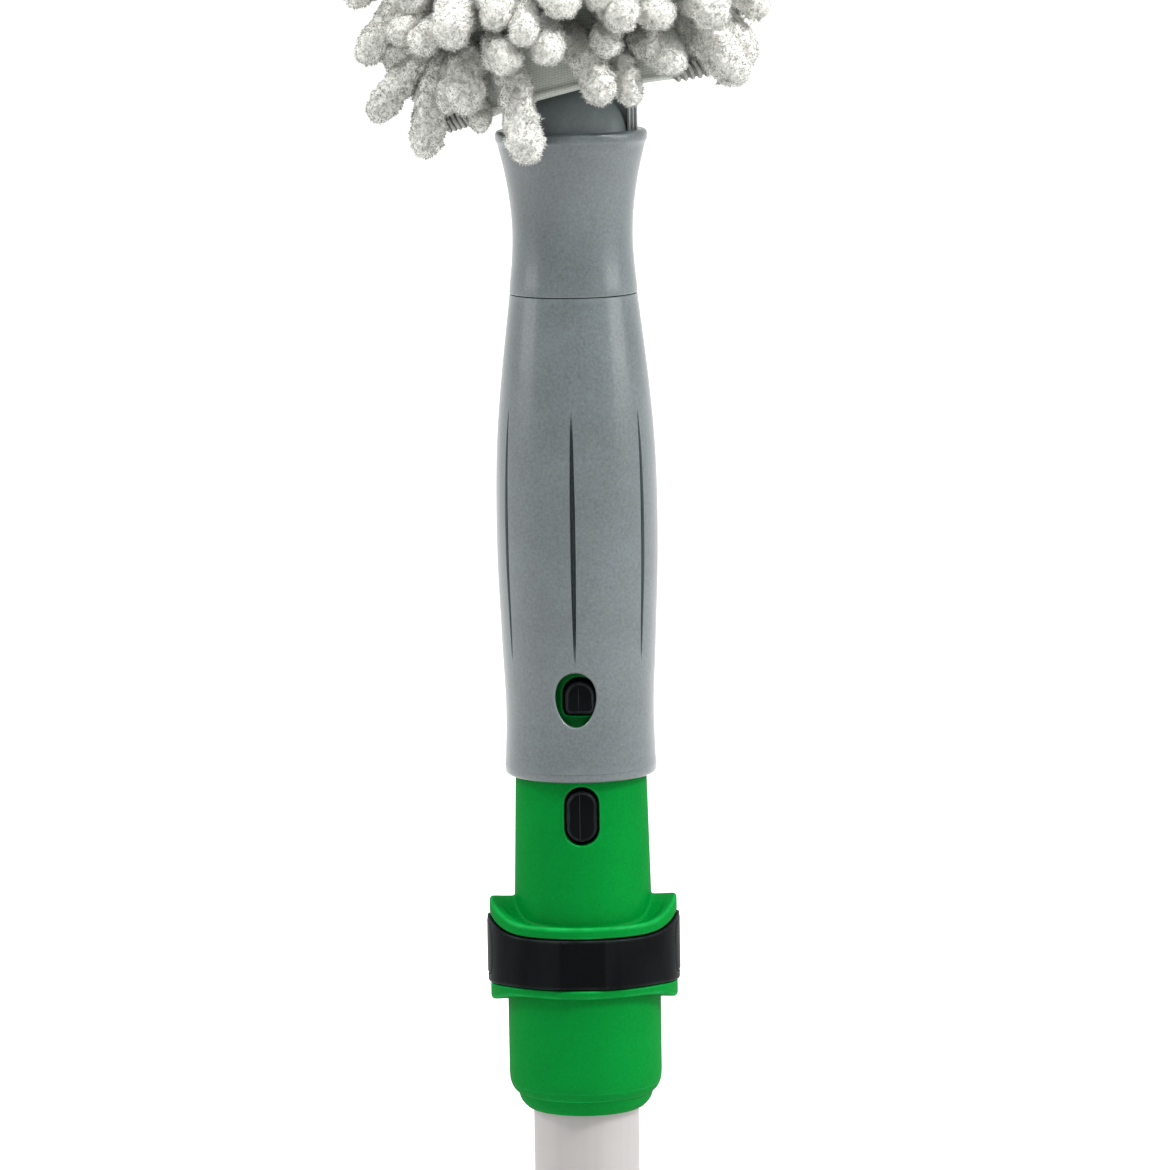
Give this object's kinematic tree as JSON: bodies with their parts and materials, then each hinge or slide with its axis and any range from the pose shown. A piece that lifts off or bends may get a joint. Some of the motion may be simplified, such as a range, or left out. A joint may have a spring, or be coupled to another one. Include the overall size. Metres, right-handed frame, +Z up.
{
  "type": "microfiber duster",
  "caption": "Chenille microfibre duster with a bendable flat head, gray handle, green locking cone with press buttons, and a tube pole with an end cap.",
  "frame": {"origin": "middle of the end cap's flat bottom, at the foot of the pole", "axes": "+Z up along the pole to the duster's crown; the two lock buttons face -Y; the release pads lie on the X axis"},
  "size_m": [0.0965, 0.0582, 0.8085],
  "materials": {
    "satin_aluminium": "satin drawn tube",
    "cap_rubber": "matte moulded",
    "green_plastic": "semi-matte moulded",
    "black_plastic": "fine textured moulded",
    "gray_plastic": "fine textured moulded",
    "core_plastic": "semi-matte moulded",
    "spring_steel": "plain drawn",
    "chenille": "fuzzy microfibre chenille"
  },
  "bodies": {
    "pole": {"end_cap": "cap_rubber", "pole_tube": "satin_aluminium", "locking_cone": "green_plastic", "lever_carrier": "core_plastic", "lever_pin": "spring_steel", "lever_spring": "spring_steel", "clip_band": "black_plastic", "snap_spring": "spring_steel", "handle_grip": "gray_plastic", "handle_collar": "gray_plastic", "core_base": "core_plastic", "duster_sleeve_1": "chenille"},
    "lever": {"lock_lever": "black_plastic"},
    "release_left": {"release_pad_left": "black_plastic", "snap_button_left": "spring_steel"},
    "release_right": {"release_pad_right": "black_plastic", "snap_button_right": "spring_steel"},
    "head_1": {"core_link_1": "core_plastic", "hinge_pin_1": "spring_steel", "duster_sleeve_2": "chenille"},
    "head_2": {"core_link_2": "core_plastic", "hinge_pin_2": "spring_steel", "duster_sleeve_3": "chenille"},
    "head_3": {"core_link_3": "core_plastic", "hinge_pin_3": "spring_steel", "duster_sleeve_4": "chenille"},
    "head_4": {"core_link_4": "core_plastic", "hinge_pin_4": "spring_steel", "duster_sleeve_5": "chenille"},
    "head_5": {"core_link_5": "core_plastic", "hinge_pin_5": "spring_steel", "duster_sleeve_6": "chenille"},
    "head_6": {"core_link_6": "core_plastic", "hinge_pin_6": "spring_steel", "duster_sleeve_7": "chenille"}
  },
  "joints": [
    {"name": "lock_press", "type": "hinge", "parent": "pole", "child": "lever", "pos_m": [0, -0.00689, 0.305], "axis": [-1, 0, 0], "range_deg": [0, 3.5], "stiffness_Nm_per_rad": 0.8, "springref_deg": -2.86, "deforming": ["lever_spring"]},
    {"name": "release_left_press", "type": "slide", "parent": "pole", "child": "release_left", "axis": [1, 0, 0], "range_m": [0, 0.0022], "stiffness_N_per_m": 1500, "springref_m": -0.002, "deforming": ["snap_spring"]},
    {"name": "release_right_press", "type": "slide", "parent": "pole", "child": "release_right", "axis": [-1, 0, 0], "range_m": [0, 0.0022], "stiffness_N_per_m": 1500, "springref_m": -0.002, "deforming": ["snap_spring"]},
    {"name": "head_bend", "type": "hinge", "parent": "pole", "child": "head_1", "pos_m": [0, 0, 0.505], "axis": [1, 0, 0], "range_deg": [-15, 15]},
    {"name": "head_bend_2", "type": "hinge", "parent": "head_1", "child": "head_2", "pos_m": [0, 0, 0.555], "axis": [1, 0, 0], "range_deg": [-15, 15]},
    {"name": "head_bend_3", "type": "hinge", "parent": "head_2", "child": "head_3", "pos_m": [0, 0, 0.605], "axis": [1, 0, 0], "range_deg": [-15, 15]},
    {"name": "head_bend_4", "type": "hinge", "parent": "head_3", "child": "head_4", "pos_m": [0, 0, 0.655], "axis": [1, 0, 0], "range_deg": [-15, 15]},
    {"name": "head_bend_5", "type": "hinge", "parent": "head_4", "child": "head_5", "pos_m": [0, 0, 0.705], "axis": [1, 0, 0], "range_deg": [-15, 15]},
    {"name": "head_bend_6", "type": "hinge", "parent": "head_5", "child": "head_6", "pos_m": [0, 0, 0.755], "axis": [1, 0, 0], "range_deg": [-15, 15]}
  ],
  "couplings": [
    {"joint": "head_bend_2", "follows": "head_bend", "ratio": 1},
    {"joint": "head_bend_3", "follows": "head_bend", "ratio": 1},
    {"joint": "head_bend_4", "follows": "head_bend", "ratio": 1},
    {"joint": "head_bend_5", "follows": "head_bend", "ratio": 1},
    {"joint": "head_bend_6", "follows": "head_bend", "ratio": 1}
  ]
}
